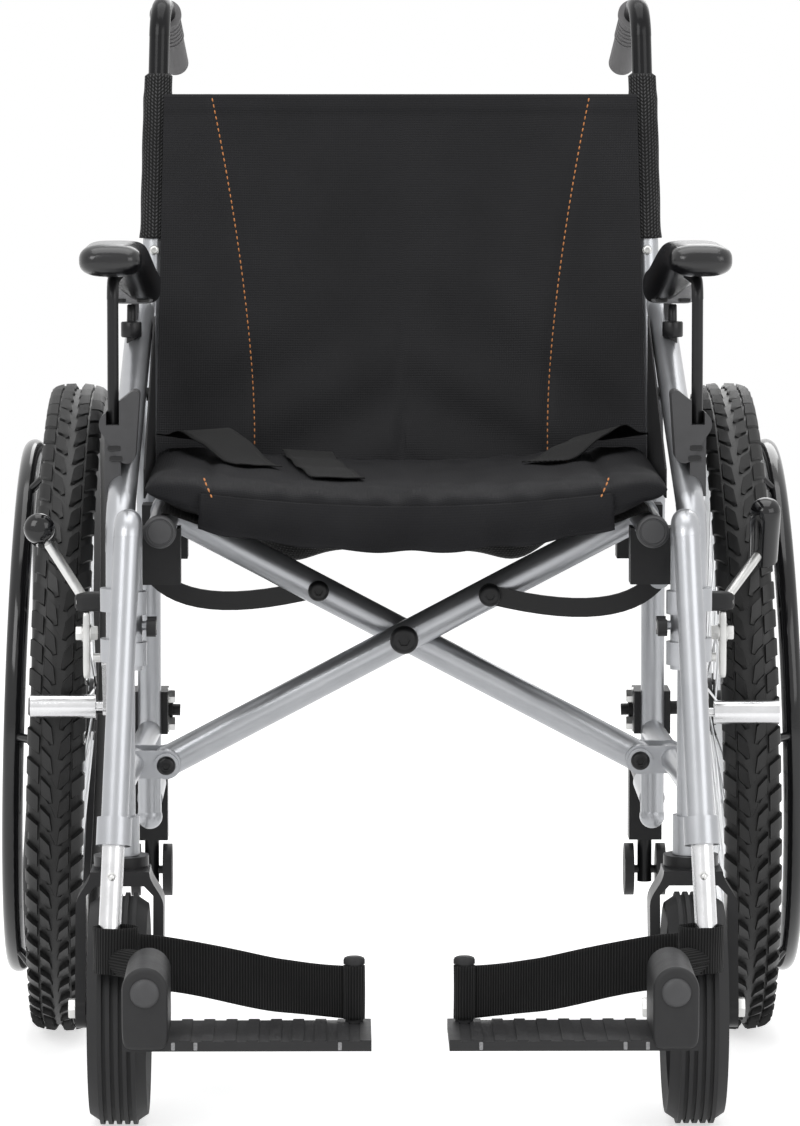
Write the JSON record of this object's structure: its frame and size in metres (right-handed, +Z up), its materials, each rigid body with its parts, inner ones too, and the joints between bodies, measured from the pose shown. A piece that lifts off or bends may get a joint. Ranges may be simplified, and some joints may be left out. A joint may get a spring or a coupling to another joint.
{
  "type": "all terrain wheelchair",
  "caption": "Folding all terrain wheelchair with cambered knobbly wheels, handrims, swing-away leg supports, flip-back armrests and a scissor frame under a sling seat.",
  "frame": {"origin": "on the floor under the middle of the chair's box", "axes": "+X to the sitter's left, +Y to the rear, +Z up"},
  "size_m": [0.7382, 1.05, 0.9722],
  "materials": {
    "frame_paint": "silver paint",
    "black_paint": "satin black",
    "bare_aluminium": "satin",
    "brake_steel": "zinc plated",
    "wheel_metal": "black rim, bright spokes",
    "handrim_black": "gloss black",
    "black_plastic": "moulded",
    "grip_rubber": "ribbed",
    "tyre_rubber": "knobbly",
    "castor_rubber": "ribbed",
    "seat_fabric": "woven nylon",
    "back_nylon": "coated nylon",
    "mesh_fabric": "mesh",
    "elastic_web": "ribbed elastic",
    "pad_vinyl": "black vinyl"
  },
  "bodies": {
    "left_frame": {"left_frame": "frame_paint", "back_upholstery": "back_nylon", "push_handle_left": "black_paint", "push_grip_left": "grip_rubber", "rail_cradles_left": "black_plastic", "cane_sleeve_left": "mesh_fabric", "side_panel_left": "black_plastic", "armrest_socket_left": "black_plastic", "axle_clamp_left": "black_plastic", "brake_mount_left": "brake_steel", "anti_tipper_left": "black_paint"},
    "cross_a": {"cross_tube_a": "frame_paint", "cross_bolt": "black_plastic"},
    "cross_b": {"cross_tube_b": "frame_paint"},
    "right_frame": {"right_frame": "frame_paint", "push_handle_right": "black_paint", "push_grip_right": "grip_rubber", "rail_cradles_right": "black_plastic", "cane_sleeve_right": "mesh_fabric", "side_panel_right": "black_plastic", "armrest_socket_right": "black_plastic", "axle_clamp_right": "black_plastic", "brake_mount_right": "brake_steel", "anti_tipper_right": "black_paint"},
    "seat": {"seat_sling": "mesh_fabric", "seat_cushion": "seat_fabric"},
    "link_left": {"link_left": "black_paint"},
    "link_right": {"link_right": "black_paint"},
    "armrest_left": {"armrest_frame_left": "black_paint", "armrest_pad_left": "pad_vinyl"},
    "rear_wheel_left": {"rear_tyre_left": "tyre_rubber", "rear_wheel_left": "wheel_metal", "handrim_left": "handrim_black"},
    "castor_fork_left": {"castor_fork_left": "black_paint"},
    "castor_wheel_left": {"castor_tyre_left": "castor_rubber", "castor_rim_left": "black_plastic"},
    "hanger_left": {"hanger_left": "frame_paint", "leg_extension_left": "bare_aluminium"},
    "hanger_latch_left": {"hanger_latch_left": "black_plastic"},
    "footplate_left": {"footplate_left": "black_plastic", "heel_strap_left": "elastic_web"},
    "brake_lever_left": {"brake_lever_left": "black_plastic"},
    "brake_shoe_left": {"brake_shoe_left": "bare_aluminium"},
    "anti_tip_left": {"anti_tip_wheels_left": "black_plastic"},
    "armrest_right": {"armrest_frame_right": "black_paint", "armrest_pad_right": "pad_vinyl"},
    "rear_wheel_right": {"rear_tyre_right": "tyre_rubber", "rear_wheel_right": "wheel_metal", "handrim_right": "handrim_black"},
    "castor_fork_right": {"castor_fork_right": "black_paint"},
    "castor_wheel_right": {"castor_tyre_right": "castor_rubber", "castor_rim_right": "black_plastic"},
    "hanger_right": {"hanger_right": "frame_paint", "leg_extension_right": "bare_aluminium"},
    "hanger_latch_right": {"hanger_latch_right": "black_plastic"},
    "footplate_right": {"footplate_right": "black_plastic", "heel_strap_right": "elastic_web"},
    "brake_lever_right": {"brake_lever_right": "black_plastic"},
    "brake_shoe_right": {"brake_shoe_right": "bare_aluminium"},
    "anti_tip_right": {"anti_tip_wheels_right": "black_plastic"}
  },
  "joints": [
    {"name": "fold", "type": "hinge", "parent": "left_frame", "child": "cross_a", "pos_m": [-0.213, -0.045, 0.286], "axis": [0, -1, 0], "range_deg": [0, 45], "deforming": ["seat_sling", "seat_cushion", "back_upholstery"]},
    {"name": "cross_turn", "type": "hinge", "parent": "cross_a", "child": "cross_b", "pos_m": [0, -0.0295, 0.398], "axis": [0, -1, 0], "range_deg": [-90, 0]},
    {"name": "right_frame_turn", "type": "hinge", "parent": "cross_b", "child": "right_frame", "pos_m": [0.213, -0.014, 0.286], "axis": [0, -1, 0], "range_deg": [0, 45]},
    {"name": "seat_turn", "type": "hinge", "parent": "cross_a", "child": "seat", "pos_m": [0.213, 0, 0.51], "axis": [0, -1, 0], "range_deg": [-45, 0]},
    {"name": "link_left_turn", "type": "hinge", "parent": "left_frame", "child": "link_left", "pos_m": [-0.228, 0.0029, 0.454], "axis": [0, -1, 0], "range_deg": [0, 73]},
    {"name": "link_right_turn", "type": "hinge", "parent": "right_frame", "child": "link_right", "pos_m": [0.228, -0.0619, 0.454], "axis": [0, 1, 0], "range_deg": [0, 73]},
    {"name": "footplate_flip_left", "type": "hinge", "parent": "hanger_left", "child": "footplate_left", "pos_m": [-0.218, -0.47, 0.158], "axis": [0, -1, 0], "range_deg": [0, 112.5], "deforming": ["heel_strap_left"]},
    {"name": "hanger_swing_left", "type": "hinge", "parent": "left_frame", "child": "hanger_left", "pos_m": [-0.248, -0.22, 0.43], "axis": [0, 0, -1], "range_deg": [0, 90]},
    {"name": "hanger_latch_turn_left", "type": "hinge", "parent": "hanger_left", "child": "hanger_latch_left", "pos_m": [-0.2196, -0.249, 0.43], "axis": [1, 0, 0], "range_deg": [-20, 0], "stiffness_Nm_per_rad": 0.4},
    {"name": "armrest_flip_left", "type": "hinge", "parent": "left_frame", "child": "armrest_left", "pos_m": [-0.256, 0.15, 0.7], "axis": [-1, 0, 0], "range_deg": [0, 80]},
    {"name": "rear_wheel_spin_left", "type": "hinge", "parent": "left_frame", "child": "rear_wheel_left", "pos_m": [-0.311, 0.22, 0.30496], "axis": [-0.9995, 0, 0.0314], "continuous": true},
    {"name": "castor_swivel_left", "type": "hinge", "parent": "left_frame", "child": "castor_fork_left", "pos_m": [-0.248, -0.22, 0.25], "axis": [0, 0, 1], "continuous": true},
    {"name": "castor_spin_left", "type": "hinge", "parent": "castor_fork_left", "child": "castor_wheel_left", "pos_m": [-0.248, -0.27, 0.1], "axis": [1, 0, 0], "continuous": true},
    {"name": "brake_lever_turn_left", "type": "hinge", "parent": "left_frame", "child": "brake_lever_left", "pos_m": [-0.26588, -0.118, 0.438], "axis": [1, 0, 0], "range_deg": [-50, 0]},
    {"name": "brake_shoe_turn_left", "type": "hinge", "parent": "left_frame", "child": "brake_shoe_left", "pos_m": [-0.26588, -0.118, 0.388], "axis": [1, 0, 0], "range_deg": [-15, 0]},
    {"name": "anti_tip_spin_left", "type": "hinge", "parent": "left_frame", "child": "anti_tip_left", "pos_m": [-0.242, 0.43, 0.119], "axis": [1, 0, 0], "continuous": true},
    {"name": "footplate_flip_right", "type": "hinge", "parent": "hanger_right", "child": "footplate_right", "pos_m": [0.218, -0.47, 0.158], "axis": [0, 1, 0], "range_deg": [0, 112.5], "deforming": ["heel_strap_right"]},
    {"name": "hanger_swing_right", "type": "hinge", "parent": "right_frame", "child": "hanger_right", "pos_m": [0.248, -0.22, 0.43], "axis": [0, 0, 1], "range_deg": [0, 90]},
    {"name": "hanger_latch_turn_right", "type": "hinge", "parent": "hanger_right", "child": "hanger_latch_right", "pos_m": [0.2196, -0.249, 0.43], "axis": [1, 0, 0], "range_deg": [-20, 0], "stiffness_Nm_per_rad": 0.4},
    {"name": "armrest_flip_right", "type": "hinge", "parent": "right_frame", "child": "armrest_right", "pos_m": [0.256, 0.15, 0.7], "axis": [-1, 0, 0], "range_deg": [0, 80]},
    {"name": "rear_wheel_spin_right", "type": "hinge", "parent": "right_frame", "child": "rear_wheel_right", "pos_m": [0.311, 0.22, 0.30496], "axis": [0.9995, 0, 0.0314], "continuous": true},
    {"name": "castor_swivel_right", "type": "hinge", "parent": "right_frame", "child": "castor_fork_right", "pos_m": [0.248, -0.22, 0.25], "axis": [0, 0, 1], "continuous": true},
    {"name": "castor_spin_right", "type": "hinge", "parent": "castor_fork_right", "child": "castor_wheel_right", "pos_m": [0.248, -0.27, 0.1], "axis": [1, 0, 0], "continuous": true},
    {"name": "brake_lever_turn_right", "type": "hinge", "parent": "right_frame", "child": "brake_lever_right", "pos_m": [0.26588, -0.118, 0.438], "axis": [1, 0, 0], "range_deg": [0, 50]},
    {"name": "brake_shoe_turn_right", "type": "hinge", "parent": "right_frame", "child": "brake_shoe_right", "pos_m": [0.26588, -0.118, 0.388], "axis": [1, 0, 0], "range_deg": [0, 15]},
    {"name": "anti_tip_spin_right", "type": "hinge", "parent": "right_frame", "child": "anti_tip_right", "pos_m": [0.242, 0.43, 0.119], "axis": [1, 0, 0], "continuous": true}
  ],
  "couplings": [
    {"joint": "cross_turn", "follows": "fold", "ratio": -2},
    {"joint": "right_frame_turn", "follows": "fold", "ratio": 1},
    {"joint": "seat_turn", "follows": "fold", "ratio": -1},
    {"joint": "link_left_turn", "follows": "fold", "ratio": 1.62},
    {"joint": "link_right_turn", "follows": "fold", "ratio": 1.62},
    {"joint": "footplate_flip_left", "follows": "fold", "ratio": 2.5},
    {"joint": "footplate_flip_right", "follows": "fold", "ratio": 2.5},
    {"joint": "brake_shoe_turn_left", "follows": "brake_lever_turn_left", "ratio": 0.3},
    {"joint": "brake_shoe_turn_right", "follows": "brake_lever_turn_right", "ratio": 0.3}
  ]
}
